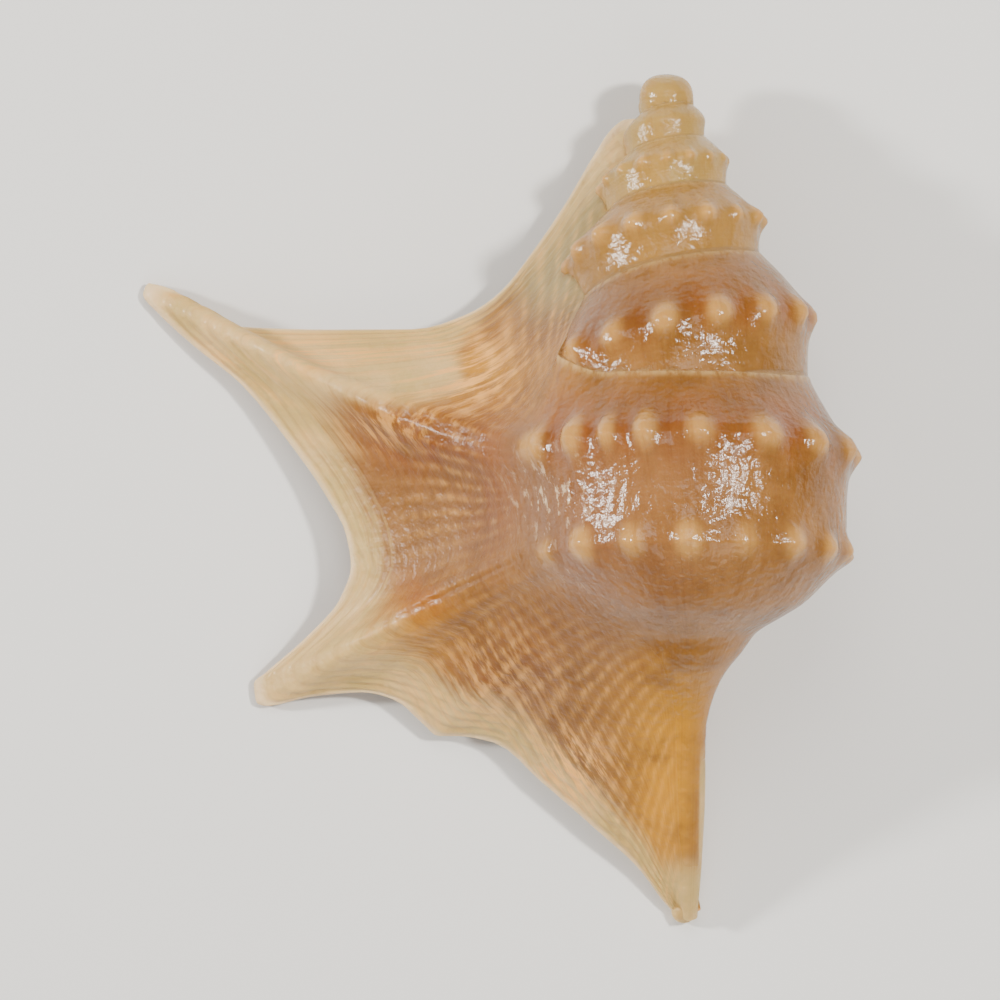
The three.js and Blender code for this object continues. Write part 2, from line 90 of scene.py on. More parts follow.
def track(rows):
    at = [row[0] for row in rows]
    x, y, z = [through(list(zip(at, [row[k] for row in rows]))) for k in (1, 2, 3)]
    return lambda t: np.stack([x(t), y(t), z(t)], axis=-1)


def bell(x, centre, width):
    return np.exp(-(((x - centre) / width) ** 2))


def smoothstep(x, low, high):
    t = np.clip((x - low) / (high - low), 0, 1)
    return t * t * (3 - 2 * t)


def lerp(a, b, share):
    return a + (b - a) * share


# %% [markdown]
# ## The coil
#
# Turns are counted along the coil: turn 0 is on the right of the last whorl, and the count rises
# over the back to the lip. A station is a distance down from the imagined point of the spire. A
# row runs with the coil, from the suture, where a turn meets the one before, to the siphon's
# tip. All lengths are in millimetres here, and become metres when points are placed.

# %% The centre line
POINT_X, POINT_Y = 8.02, 23.92
TIP_STATION = 44.6

axis_x = through([(0, POINT_X), (27, 9.65), (29, 9.74), (31, 9.59), (34, 9.4), (38, 9.27), (TIP_STATION, 9.3)])
axis_z = through([(0, 2.07), (21.6, 8.05), (25, 8.95), (28, 9.35), (31, 8.7), (35, 6.3), (40, 3.0),
                  (TIP_STATION, 0.75)])
lean = through([(27, 0.267), (30, 0.1), (33, -0.2), (38, -0.35)])


def around(station, reach, angle):
    tip, up = lean(station), reach * np.sin(angle)
    return np.stack([
        axis_x(station) + reach * np.cos(angle),
        POINT_Y - station + up * tip,
        axis_z(station) + up * np.sqrt(1 - tip * tip),
    ], axis=-1)


print("centre line from", around(4, 0, 0).round(2), "to", around(TIP_STATION, 0, 0).round(2), "mm")

# %% [markdown]
# Three curves say how the coil grows from turn to turn: where the suture is, where the shoulder
# keel is and how far the keel stands out. A true snail's coil grows by the same factor every turn.
# These curves stay near that, and follow the photo where the real shell strays from it.

# %% Sutures and keels along the coil
suture_station = through([
    (-5.5, 2.6), (-5, 3.07), (-4, 4.29), (-3, 6.01), (-2, 8.42), (-1, 11.8), (-0.5, 14.6), (0, 17.89),
    (0.15, 19.06), (0.25, 19.33), (0.35, 19.1), (0.433, 17.4), (0.5, 15.5),
])
keel_station = through([
    (-5.5, 3.1), (-5, 3.66), (-4, 5.13), (-3, 7.19), (-2, 10.18), (-1, 15.0), (-0.5, 18.6), (0, 21.65),
    (0.1, 22.4), (0.25, 22.75), (0.43, 22.45),
])
keel_radius = through([
    (-5.5, 1.0), (-5, 1.25), (-4, 1.88), (-3, 2.85), (-2, 4.3), (-1, 6.45), (0, 8.0), (0.25, 8.55), (0.43, 8.8),
])

print("the keel's radius grows by", (keel_radius(0) / keel_radius(-1)).round(2), "in the last turn but one")

# %% [markdown]
# Below the shoulder the profile of the last turn has two more keels, and then it draws in to the
# siphon. Earlier turns are smaller copies of it. Each is hidden from its covered row down, because
# the next turn lies over it there.

# %% The profile of the last turn, by row
KEEL_1, KEEL_2, KEEL_3 = 0.25, 0.5, 0.63
row_station = through([
    (KEEL_1, 21.65), (0.28, 22.4), (0.35, 23.6), (0.42, 24.9), (0.47, 25.9), (KEEL_2, 26.6), (0.53, 27.2),
    (0.58, 28.0), (KEEL_3, 29.0), (0.67, 29.6), (0.72, 30.4), (0.76, 31.3), (0.8, 32.5), (0.86, 35.2),
    (0.9, 38.0), (1, TIP_STATION),
])
row_radius = through([
    (KEEL_1, 8.0), (0.28, 7.85), (0.35, 7.6), (0.42, 7.5), (0.47, 7.45), (KEEL_2, 7.5), (0.53, 7.1),
    (0.58, 6.25), (KEEL_3, 5.15), (0.67, 4.2), (0.72, 3.0), (0.76, 2.4), (0.8, 1.55), (0.83, 1.1),
    (0.86, 0.85), (0.9, 0.93), (0.95, 0.8), (1, 0.55),
])
row_stays = through([(0.5, 0), (0.58, 0.05), (0.67, 0.4), (0.76, 0.85), (0.84, 1), (1, 1)])
row_grows = through([(0.5, 1), (0.62, 0.85), (0.72, 0.5), (0.84, 0.1), (1, 0)])
shoulder = through([(-4, 0.2), (-2, 0.12), (-1, 0.15), (-0.2, -0.04)])


def lower_row(turn, row):
    scale = keel_radius(turn) / keel_radius(0)
    climbed = keel_station(turn) + (row_station(row) - row_station(KEEL_1)) * np.minimum(scale, 1)
    return lerp(climbed, row_station(row), row_stays(row)), row_radius(row) * scale ** row_grows(row)


# Where each turn is covered by the next one: halved steps close in on the row, once for a list of turns.
turns_listed = np.linspace(-7, 1, 8001)
low, high = np.full(8001, KEEL_1), np.full(8001, 0.6)
for _ in range(24):
    middle = (low + high) / 2
    above = lower_row(turns_listed, middle)[0] < suture_station(turns_listed + 1)
    low, high = np.where(above, middle, low), np.where(above, high, middle)
rows_covered = (low + high) / 2


def covered_row(turn):
    return np.interp(turn, turns_listed, rows_covered)


def profile(turn, row):
    share = np.clip(row, 0, KEEL_1) / KEEL_1
    suture_radius = lower_row(turn - 1, covered_row(turn - 1))[1]
    bulge = shoulder(turn) * keel_radius(turn) * share * (1 - share)
    upper_station = lerp(suture_station(turn), keel_station(turn), share)
    upper_radius = lerp(suture_radius, keel_radius(turn), share) + bulge
    station, radius = lower_row(turn, row)
    above = row < KEEL_1
    return np.where(above, upper_station, station), np.where(above, upper_radius, radius)


print("turn -1 is covered from row", covered_row(-1).round(3), "down")

# %% [markdown]
# ## Knobs
#
# The snail pushes out a row of knobs along each keel, about sixteen to a turn, and they crowd
# together towards the lip as growth slows down. Knobs are counted along the coil, and a ripple of
# that count makes them. Each one is a little different in size, as it is on the real shell.

# %% Knobs on the keels
KNOB_HEIGHT, LOW_KNOB_HEIGHT = 0.55, 0.33
upper_count = through([(-6, -97.8), (0.05, -1), (0.117, 0), (0.178, 1), (0.244, 2), (0.2945, 3), (0.331, 4),
                       (0.368, 5), (0.43, 6.3)])


def lower_count(turn):
    return 17.8 * (turn - 0.091)


def ripple(count):
    wave = 0.5 + 0.5 * np.cos(2 * np.pi * count)
    return wave ** 1.4 * (1 + 0.16 * np.sin(2.7 * np.round(count)) + 0.1 * np.sin(5.3 * np.round(count)))


def upper_knobs(turn, row):
    size = keel_radius(turn) / keel_radius(0)
    belt = bell(profile(turn, row)[0], keel_station(turn) - 0.1 * size, 0.9 * size)
    return np.sqrt(size) * smoothstep(turn, -3.6, -2.2) * ripple(upper_count(turn)) * belt


def lower_knobs(turn, row):
    return smoothstep(turn, -1, -0.2) * ripple(lower_count(turn)) * bell(row, KEEL_2, 0.032)


def knobs(turn, row):
    return KNOB_HEIGHT * upper_knobs(turn, row) + LOW_KNOB_HEIGHT * lower_knobs(turn, row)


print("knobs on the last turn:", round(float(upper_count(0.43) - upper_count(-0.455))), "on the shoulder,",
      round(float(lower_count(0.38) - lower_count(-0.4))), "on the second keel")

# %% [markdown]
# A keel on the real shell is rounded, like a worn edge. A bevel could round an edge of a mesh, but
# this shape is a rule, so the rule itself is softened: near the keel the profile is averaged with
# its neighbours. `coil` then gives the place of any turn and row.

# %% A point of the coil
def coil(turn, row, height=0):
    softness = 0.03 * smoothstep(row, 0.08, 0.17) * (1 - smoothstep(row, 0.33, 0.42))
    parts = [(0.5, 0), (0.25, -softness), (0.25, softness)]
    station, radius = [sum(share * profile(turn, row + shift)[k] for share, shift in parts) for k in (0, 1)]
    return around(station, radius + height, 2 * np.pi * turn)


print("shoulder on the right of the last turn at", coil(0.0, KEEL_1).round(2), "mm")

# %% [markdown]
# ## The flared lip
#
# When it is full grown, the snail turns the lip outwards and lays it flat. Every row leaves the
# last turn along the coil, bends over towards a guide point and ends on the edge with its toes.
# The edge is the outline of the photo, written down as a track of some forty points. Three rows
# swell into the ribs that end in the toes.

# %% Where the rows of the lip run
FIRST_EDGE = -0.455
lip_turn = through([(0.55, 0.42), (KEEL_3, 0.37), (0.72, 0.3), (0.8, 0.27), (1, 0.25)])
leave_length = through([
    (0, 0.3), (0.1, 1.5), (0.2, 4.2), (0.35, 5.6), (0.55, 4.6), (0.7, 2.6), (0.85, 1.2), (1, 0.3),
])
start_turn = through([(0.6, FIRST_EDGE), (0.72, -0.34), (0.82, -0.17), (1, -0.12)])
guide = track([
    (0, 6.4, 12.8, 4.4), (0.05, 4.3, 12.2, 4.3), (0.1, 2.0, 10.3, 4.2), (0.16, -0.8, 8.2, 4.3),
    (0.2, -4.4, 7.2, 3.9), (0.22, -7.8, 6.6, 3.3), (KEEL_1, -9.4, 6.4, 3.2), (0.28, -8.2, 5.0, 3.3),
    (0.35, -5.3, 0.8, 3.9), (0.42, -4.3, -2.9, 4.2), (0.47, -5.6, -5.6, 3.5), (KEEL_2, -6.6, -6.9, 2.9),
    (0.53, -4.9, -7.6, 3.4), (0.58, -2.6, -8.2, 4.4), (KEEL_3, -0.4, -9.2, 5.1), (0.72, 3.4, -11.6, 5.6),
    (0.8, 5.9, -13.6, 5.0), (0.9, 7.9, -17.0, 3.0), (1, 9.2, -20.2, 1.2),
])
edge = track([
    (0, 6.9, 18.95, 2.8), (0.012, 6.2, 18.9, 2.4), (0.025, 5.55, 18.47, 2.2), (0.045, 4.75, 17.3, 2.0),
    (0.08, 3.2, 14.65, 1.9), (0.11, 1.6, 12.3, 1.95), (0.14, 0.05, 10.36, 2.2), (0.16, -1.7, 9.2, 2.3),
    (0.18, -4.4, 8.5, 2.2), (0.2, -8.3, 8.5, 1.9), (0.22, -13.1, 8.68, 1.2), (0.232, -15.0, 9.7, 0.8),
    (0.243, -16.9, 10.75, 0.45), (0.248, -17.45, 10.8, 0.35), (0.252, -17.75, 10.2, 0.35),
    (0.257, -17.0, 9.25, 0.45), (0.268, -15.2, 7.6, 0.8), (0.285, -12.9, 5.75, 1.2), (0.315, -10.5, 2.85, 1.6),
    (0.35, -8.7, 0.3, 2.1), (0.385, -7.65, -1.7, 2.5), (0.42, -7.4, -3.3, 2.6), (0.45, -8.0, -5.0, 2.2),
    (0.472, -9.9, -7.05, 1.3), (0.488, -11.7, -8.6, 0.6), (0.496, -12.25, -9.15, 0.35),
    (0.502, -12.1, -10.1, 0.35), (0.508, -11.5, -10.3, 0.45), (0.52, -9.5, -9.85, 0.8), (0.54, -6.9, -9.6, 1.2),
    (0.56, -5.3, -9.95, 1.3), (0.59, -3.9, -11.1, 1.2), (0.615, -3.0, -11.8, 1.0), (0.635, -2.0, -11.8, 1.0),
    (0.66, -0.3, -12.1, 1.3), (0.71, 2.0, -14.0, 1.6), (0.78, 4.7, -16.35, 1.6), (0.86, 6.9, -18.35, 1.2),
    (0.93, 8.25, -20.1, 0.7), (0.97, 8.75, -20.55, 0.6), (1, 9.2, -20.7, 0.55),
])
print("toes end at", edge(0.252).round(1), edge(0.496).round(1), edge(1.0).round(1), "mm")

# %% [markdown]
# Each row is one smooth curve that four points steer: the start on the coil, a point ahead of it in
# the direction of growth, the guide, and the edge. A bridge between two loops would be quicker to
# make, but it would kink at the coil. This curve leaves the last turn smoothly and needs no seam.

# %% The surface of the lip
TOE_SWELL = 0.75


def ribs(row):
    return bell(row, KEEL_1, 0.03) + bell(row, KEEL_2, 0.028) + 0.5 * bell(row, KEEL_3, 0.03)


def wing_row(share, row, bare):
    turn, t = lip_turn(row), share[..., None]
    start = coil(turn, row, 0 if bare else knobs(turn, row))
    forward = coil(turn, row) - coil(turn - 0.004, row)
    forward /= np.linalg.norm(forward, axis=-1, keepdims=True)
    leave = start + forward * leave_length(row)[..., None]
    near, far = 3 * t * (1 - t) ** 2 * leave, 3 * t * t * (1 - t) * guide(row)
    point = (1 - t) ** 3 * start + near + far + t ** 3 * edge(row)
    swell = smoothstep(share, 0.2, 0.75) * (1 - 0.8 * smoothstep(share, 0.75, 1))
    point[..., 2] += TOE_SWELL * ribs(row) * swell
    return point


def wing(share, row, bare=False):
    softness = 0.034 * (bell(row, KEEL_1, 0.05) + bell(row, KEEL_2, 0.05)) * (1 - smoothstep(share, 0.4, 0.8))
    softness *= smoothstep(share, 0, 0.1)
    parts = [(0.4, 0), (0.3, -1), (0.3, 1)]
    return sum(part * wing_row(share, row + side * softness, bare) for part, side in parts)


# %% [markdown]
# The last turn and the lip are one surface: `along` goes from 0 to 1 round the turn and from 1 to
# 2 out to the edge. Its upper border is tucked into the turn before, and its beginning is buried
# under the glaze of the mouth. The inside of the wall is the same surface, moved inwards along its
# own normal by the wall's thickness.

# %% The last turn, outside and inside
TUCK = 0.45
WALL, WING_WALL, RIM_WALL = 0.7, 0.95, 0.4


def last_turn(along, row, bare=False):
    turn = lerp(start_turn(row), lip_turn(row), np.minimum(along, 1))
    buried = np.where(row < 0.7, smoothstep(turn, FIRST_EDGE, FIRST_EDGE + 0.08) - 1, 0)
    body = coil(turn, row, 0.3 * buried + (0 if bare else knobs(turn, row)))
    tucked = around(suture_station(turn) - 0.08, profile(turn, 0 * row)[1] - TUCK, 2 * np.pi * turn)
    body = np.where((row < 0)[..., None], tucked, body)
    return np.where((along > 1)[..., None], wing(np.clip(along - 1, 0, 1), np.maximum(row, 0), bare), body)


def wall_normal(along, row):
    x, y = np.clip(along, 0.01, 1.99), np.clip(row, 0.01, 0.985)
    across = last_turn(x + 0.005, y, True) - last_turn(x - 0.005, y, True)
    down = last_turn(x, y + 0.005, True) - last_turn(x, y - 0.005, True)
    outward = np.cross(across, down)
    return outward / np.linalg.norm(outward, axis=-1, keepdims=True)


def wall_thickness(along, row):
    body = np.minimum(WALL, 0.5 * profile(0 * row, np.clip(row, 0.01, 0.985))[1])
    flared = lerp(body, WING_WALL + 0.35 * ribs(row), smoothstep(along, 1, 1.35))
    return lerp(flared, RIM_WALL, smoothstep(along, 1.75, 2))


# %% [markdown]
# ## Making a surface
#
# Each surface starts as a grid primitive. A grid is flat and even, so its own X and Y, from 0 to
# 1, are handy addresses: a rule takes the two addresses of each point and says where on the shell
# it belongs. Sculpting would be the way by hand, but the turns would not grow evenly. `take` makes
# one piece the active one, with all else deselected, because an operator acts on what is selected.

# %% Helpers for the workbench
def deselect():
    if bpy.context.object and bpy.context.object.mode != "OBJECT":
        bpy.ops.object.mode_set(mode="OBJECT")
    bpy.ops.object.select_all(action="DESELECT")


def take(piece):
    deselect()
    piece.select_set(True)
    bpy.context.view_layer.objects.active = piece


def points_of(piece):
    points = np.empty(len(piece.data.vertices) * 3, np.float32)
    piece.data.vertices.foreach_get("co", points)
    return points.reshape(-1, 3).astype(float)


def put_points(piece, points):
    piece.data.vertices.foreach_set("co", np.asarray(points, np.float32).ravel())
    piece.data.update()


def grid_piece(name, columns, rows):
    deselect()
    bpy.ops.mesh.primitive_grid_add(x_subdivisions=columns, y_subdivisions=rows, size=1)
    piece = bpy.context.object
    piece.name = name
    address = points_of(piece)[:, :2] + 0.5
    return piece, address[:, 0], address[:, 1]


def apply_modifier(piece, kind, **settings):
    take(piece)
    modifier = piece.modifiers.new(kind.lower(), kind)
    for key, value in settings.items():
        setattr(modifier, key, value)
    bpy.ops.object.modifier_apply(modifier=modifier.name)


# %% [markdown]
# ## Notes for the finish
#
# Colour follows growth on a shell, so it is noted in the shell's own addresses: threads run along
# rows, growth lines run across them, and the margin follows the lip. A few soft patches say where
# the hollows are amber or the toes golden. The notes become attributes of the finished skin.

# %% Fields for the finish
FIELDS = ("threads", "growth", "knob", "amber", "cream", "gold", "pink", "pearl", "spire", "suture", "rim",
          "fleck", "blotch", "inside", "porcelain", "lip")
noted_points, noted_fields = [], []
arc_listed = np.cumsum(keel_radius(turns_listed)) * 2 * np.pi * 0.001
cream_from = through([
    (0, 0.88), (0.1, 0.9), (0.14, 0.95), (0.16, 0.9), (0.175, 0.75), (0.19, 0.55), (0.22, 0.52), (0.25, 0.6),
    (0.29, 0.78), (0.35, 0.87), (0.42, 0.87), (0.47, 0.76), (0.5, 0.66), (0.53, 0.74), (0.58, 0.82),
    (0.63, 0.8), (0.7, 0.86), (0.8, 0.88), (0.9, 0.84), (1, 0.5),
])
scar_x = through([(-5.5, -3.2), (-2.95, -0.93), (-1.4, -0.44), (0.64, -0.59), (3, -1.96), (5, -3.6)])


def patch(points, x, y, width, height):
    return np.exp(-(((points[:, 0] - x) / width) ** 2) - ((points[:, 1] - y) / height) ** 2)


print(len(FIELDS), "fields are noted for every point")

# %% [markdown]
# `note` works out all the fields of a list of points. Most of them are masks from 0 to 1: the amber
# lies in the hollows between the knobs and beside the ribs, the cream fills the outer part of the
# lip, and the pale line follows the suture. `threads` and `growth` are not masks but addresses, in
# threads and in millimetres along the coil.

# %% Note the fields of some points
def note(points, turn, row, share=0.0, inside=0.0, porcelain=0.0):
    turn, row, share = [np.broadcast_to(values, len(points)) for values in (turn, row, share)]
    on_coil = 1 - smoothstep(share, 0, 0.12)
    size = keel_radius(turn) / keel_radius(0)
    upper, lower = upper_knobs(turn, row) / np.sqrt(size), lower_knobs(turn, row)
    young = smoothstep(turn, -1.5, -0.9)
    between = bell(row, 0.24, 0.07) * np.clip(1 - ripple(upper_count(turn)), 0, 1)
    hollows = 1.2 * patch(points, -3.7, 3.0, 2.6, 1.6) + patch(points, -3.9, -4.9, 1.4, 1.3)
    hollows += 0.5 * patch(points, -1.5, 5.0, 2.6, 1.4) + 0.6 * patch(points, 0.5, -8.5, 3.0, 2.2)
    hollows += 0.35 * patch(points, -6.5, 4.6, 3.0, 1.2) + 0.5 * patch(points, -0.4, 0.5, 1.6, 4.0)
    scar = bell(points[:, 0], scar_x(points[:, 1]), 0.13) * bell(points[:, 1], 0.2, 3.0)
    table = {
        "threads": row * 64,
        "growth": np.interp(turn, turns_listed, arc_listed) + 18 * share,
        "knob": np.clip(upper + 0.9 * lower, 0, 1) * on_coil,
        "amber": on_coil * young * (0.5 * bell(row, 0.14, 0.08) + 0.6 * between)
        + np.maximum(hollows, scar) * smoothstep(share, 0.01, 0.1),
        "cream": np.maximum.reduce([
            smoothstep(share, cream_from(row) - 0.2, cream_from(row) + 0.12),
            smoothstep(-points[:, 1], 16.4, 19.8),
            0.8 * smoothstep(points[:, 0], 9.75, 10.0) * smoothstep(-points[:, 1], 11, 14),
        ]),
        "gold": patch(points, 8.1, -15.4, 1.9, 4.2) + 0.7 * patch(points, -11.0, 6.2, 4.2, 2.0)
        + 0.9 * patch(points, -2.2, 6.4, 3.6, 1.9) + 0.6 * patch(points, -8.6, -7.6, 3.0, 1.6)
        + 0.6 * patch(points, 8.5, -10.5, 2.4, 2.8) + 0.4 * patch(points, -5.0, -6.5, 3.5, 2.5),
        "pink": 0.9 * patch(points, 3.0, 0.6, 3.2, 3.6) + 0.6 * patch(points, 6.0, -4.4, 5.0, 2.6)
        + 0.5 * patch(points, 9.0, 1.5, 3.0, 2.0),
        "pearl": smoothstep(share, 0.02, 0.15) * smoothstep(points[:, 1], 7.8, 11.0)
        * (1 - smoothstep(row, 0.1, 0.15)),
        "spire": 1 - 0.6 * smoothstep(turn, -2.7, -1.4) - 0.4 * smoothstep(turn, -1.5, -0.5),
        "suture": bell(row, 0.006, 0.014) * (1 - 0.5 * smoothstep(share, 0.05, 0.3)),
        "rim": smoothstep(share, 0.955, 0.985),
        # painted highlight: pale flecks where the lamps glint on the back of the last turn
        "fleck": patch(points, 2.8, 0.2, 2.2, 2.0) + 0.7 * patch(points, 3.6, -3.8, 0.5, 0.5),
        "blotch": patch(points, -1.6, 6.3, 2.8, 1.8) + 0.8 * patch(points, -9.5, 7.2, 4.4, 0.9)
        + patch(points, 3.6, -13.2, 2.0, 1.8) + 0.4 * patch(points, -1.0, -9.0, 4.0, 3.0)
        + 0.6 * patch(points, -5.6, 3.6, 2.4, 1.0),
        "inside": inside,
        "porcelain": porcelain,
        "lip": share,
    }
    noted_points.append(np.array(points))
    noted_fields.append(np.stack([np.broadcast_to(table[name], len(points)) for name in FIELDS], axis=-1))


# %% [markdown]
# ## The spire
#
# The spire is a strip that winds on itself: the lower border of each turn is the upper border of
# the next one, which makes the suture. The strip's first and last borders are placed on exactly
# the same points, and merging the doubled points by distance closes the spiral without a seam.

# %% The winding strip
CORE_END = -0.3563
STRIP_TURN, STRIP_COLUMNS = 192, 834
FIRST_TURN = CORE_END - STRIP_COLUMNS / STRIP_TURN
rod = through([(0.6, 1), (0.7, 0.9), (0.8, 0.8), (1, 0.75)])
open_row = float(covered_row(np.array(CORE_END - 1)))


def suture_thread(turn, row):
    return 0.05 * bell(row, 0.008, 0.012) * smoothstep(turn, -4.3, -3)


def core_point(turn, row):
    slimmer = np.where(row > 0.6, profile(turn, row)[1] * (rod(row) - 1), 0)
    sunk = 0.3 * smoothstep(turn, CORE_END - 0.12, CORE_END)
    pinched = 0.3 * (1 - smoothstep(turn, FIRST_TURN, FIRST_TURN + 0.4))
    clear = smoothstep(suture_station(turn + 1) - profile(turn, row)[0], 0.1, 1.1)
    return coil(turn, row, knobs(turn, row) * clear + suture_thread(turn, row) + slimmer - sunk - pinched)


STRIP_SHARES = [
    0, 0.03, 0.06, 0.1, 0.16, 0.25, 0.36, 0.48, 0.6, 0.72, 0.84, 0.94, 1.04, 1.14, 1.25, 1.37, 1.5, 1.63,
    1.75, 1.85, 1.93, 2,
]
strip, u, v = grid_piece("spire", STRIP_COLUMNS, len(STRIP_SHARES) - 1)
turn = CORE_END - (1 - u) * STRIP_COLUMNS / STRIP_TURN
share = np.interp(v * (len(STRIP_SHARES) - 1), np.arange(len(STRIP_SHARES)), STRIP_SHARES)
covered = np.where(turn < CORE_END - 1 - 1e-4, covered_row(turn), open_row)
row = np.where(share <= 1, KEEL_1 * share, lerp(KEEL_1, covered, share - 1))
joins = (v > 1 - 1e-4) & (turn < CORE_END - 1 + 1e-4)
points = core_point(np.where(joins, turn + 1, turn), np.where(joins, 0, row))
put_points(strip, points * 0.001)
note(points, turn, row)
print("spire strip:", len(points), "points over", round(STRIP_COLUMNS / STRIP_TURN, 2), "turns")

# %% [markdown]
# Below the last suture of the strip the inner wall runs on down to a solid rod inside the siphon.
# It shows only through the mouth, so it is cut more coarsely.

# %% The inner wall of the mouth
base, u, v = grid_piece("inner_wall", STRIP_TURN, 12)
turn = CORE_END - 1 + u
row = lerp(open_row, 0.95, v ** 0.8)
row = np.where(v < 1e-4, open_row, row)
joins = (v < 1e-4) & (turn < CORE_END - 1 + 1e-4)
points = core_point(np.where(joins, turn + 1, turn), np.where(joins, 0, row))
points[v > 1 - 1e-4] = around(TIP_STATION - 0.6, 0, 0)
put_points(base, points * 0.001)
note(points, turn, row, inside=0.7)

deselect()
strip.select_set(True)
base.select_set(True)
bpy.context.view_layer.objects.active = strip
bpy.ops.object.join()
bpy.ops.object.mode_set(mode="EDIT")
bpy.ops.mesh.select_all(action="SELECT")
bpy.ops.mesh.remove_doubles(threshold=1e-6)
bpy.ops.mesh.fill_holes(sides=0)
bpy.ops.mesh.select_all(action="SELECT")
bpy.ops.mesh.quads_convert_to_tris(quad_method="SHORTEST_DIAGONAL", ngon_method="BEAUTY")
bpy.ops.mesh.normals_make_consistent(inside=False)
bpy.ops.object.mode_set(mode="OBJECT")


def open_edges(piece):
    shape = bmesh.new()
    shape.from_mesh(piece.data)
    count = sum(1 for e in shape.edges if len(e.link_faces) != 2)
    volume = shape.calc_volume(signed=True) * 1e9
    shape.free()
    return count, round(volume, 1)


print("spire and inner wall: open edges and volume in mm3", open_edges(strip))

# %% [markdown]
# ## The last turn and the lip
#
# One grid makes the whole of the last turn with its wing. Its rows are set closer together where
# the toes run to a point, and its columns close up towards the edge, so that the edge can be
# rolled round. The Solidify modifier gives the sheet a second side and a rim, and then the second
# side is moved to where the inside of the wall belongs.

# %% The sheet of the last turn
CROWDED_ROWS = [
    -0.03, 0, 0.012, 0.025, 0.045, 0.08, 0.11, 0.14, 0.16, 0.18, 0.2, 0.22, 0.232, 0.243, 0.248, 0.252,
    0.257, 0.268, 0.285, 0.315, 0.35, 0.385, 0.42, 0.45, 0.472, 0.488, 0.496, 0.502, 0.508, 0.52, 0.54,
    0.56, 0.59, 0.615, 0.635, 0.66, 0.71, 0.76, 0.81, 0.87, 0.93, 0.97, 1,
]
SHEET_COLUMNS, SHEET_ROWS = 300, 168
sheet, u, v = grid_piece("last_turn", SHEET_COLUMNS, SHEET_ROWS)
BODY_SHARE = 0.62
on_lip = u > BODY_SHARE
out = np.clip((u - BODY_SHARE) / (1 - BODY_SHARE), 0, 1)
along = np.where(on_lip, 1 + 1 - (1 - out) ** 1.5, u / BODY_SHARE)
row = np.interp(v * (len(CROWDED_ROWS) - 1), np.arange(len(CROWDED_ROWS)), CROWDED_ROWS)
single_side = len(along)

apply_modifier(sheet, "SOLIDIFY", thickness=0.02, offset=-1, use_rim=True)
print("sheet:", single_side, "points on one side,", len(sheet.data.vertices), "on both")

# %% [markdown]
# Low relief goes onto the outside: the margin of the lip shows where growth stopped and started
# again, and the ribs to the toes carry small beads. It is added along the normal of the wall.

# %% Relief of the outside
def relief(along, row, places):
    share, row = np.clip(along - 1, 0, 1), np.maximum(row, 0)
    near_edge = smoothstep(share, 0.72, 0.88) * (1 - smoothstep(share, 0.975, 0.995))
    steps = np.sin(2 * np.pi * (share * 23 + 0.5 * np.sin(row * 31) + 0.3 * np.sin(row * 77)))
    beads = 0.5 + 0.5 * np.sin(2 * np.pi * (share * 13 + 0.4 * np.sin(share * 23)))
    crest = bell(row, KEEL_1, 0.014) + 0.8 * bell(row, KEEL_2, 0.014)
    crest *= smoothstep(share, 0.3, 0.5) * (1 - smoothstep(share, 0.88, 0.98))
    fan = np.cos(2 * np.pi * row * 64) * smoothstep(share, 0.1, 0.3) * (1 - smoothstep(share, 0.8, 0.95))
    fan *= smoothstep(row, 0.29, 0.33) * (1 - smoothstep(row, 0.8, 0.86))
    turn = lerp(start_turn(row), lip_turn(row), np.minimum(along, 1))
    folds = np.sin(2 * np.pi * (turn * 70 + 0.4 * np.sin(row * 23))) * bell(row, 0.4, 0.3)
    folds *= smoothstep(turn, -0.2, 0.2) * (1 - smoothstep(share, 0, 0.1))
    past_scar = smoothstep(scar_x(places[:, 1]) - places[:, 0], -0.15, 0.15) * bell(places[:, 1], 0.2, 3.4)
    past_scar *= smoothstep(row, 0.27, 0.33) * (1 - smoothstep(share, 0.35, 0.6))
    return (0.035 * near_edge * steps + 0.1 * beads * crest + 0.02 * fan + 0.014 * folds - 0.12 * past_scar
            + suture_thread(turn, row) * (1 - smoothstep(share, 0.3, 0.6)))


outward = wall_normal(along, row)
roll = np.clip((along - 1.985) / 0.015, 0, 1)
rounding = 1 - np.sqrt(1 - roll ** 2)
smooth_outside = last_turn(along, row)
raised = relief(along, row, smooth_outside) - 0.5 * RIM_WALL * rounding
outside = smooth_outside + outward * raised[:, None]
depth = wall_thickness(along, row)
within = last_turn(along, row, True) - outward * (depth - (depth - 0.5 * RIM_WALL) * rounding)[:, None]
put_points(sheet, np.concatenate([outside, within]) * 0.001)

turn = lerp(start_turn(row), lip_turn(row), np.minimum(along, 1))
wing_share = np.clip(along - 1, 0, 1)
note(outside, turn, np.maximum(row, 0), wing_share)
note(within, turn, np.maximum(row, 0), wing_share, inside=1)

# %% [markdown]
# The rolled edge brings the outside and the inside together, so their points are merged there.
# The inside of the wall is smooth and seldom seen. It keeps its shape with far fewer faces, and a
# Decimate modifier that is held to a vertex group thins that side alone.

# %% Close the edge and thin the inside
take(sheet)
inner_group = sheet.vertex_groups.new(name="thin_here")
inner_group.add(list(range(single_side, 2 * single_side)), 1.0, "REPLACE")
bpy.ops.object.mode_set(mode="EDIT")
bpy.ops.mesh.select_all(action="SELECT")
bpy.ops.mesh.remove_doubles(threshold=1e-6)
bpy.ops.mesh.quads_convert_to_tris(quad_method="SHORTEST_DIAGONAL", ngon_method="BEAUTY")
bpy.ops.mesh.normals_make_consistent(inside=False)
bpy.ops.object.mode_set(mode="OBJECT")
before = len(sheet.data.polygons)
apply_modifier(sheet, "DECIMATE", ratio=0.64, vertex_group="thin_here")
sheet.vertex_groups.clear()
print("last turn and lip:", before, "faces thinned to", len(sheet.data.polygons))
print("open edges and volume in mm3", open_edges(sheet))

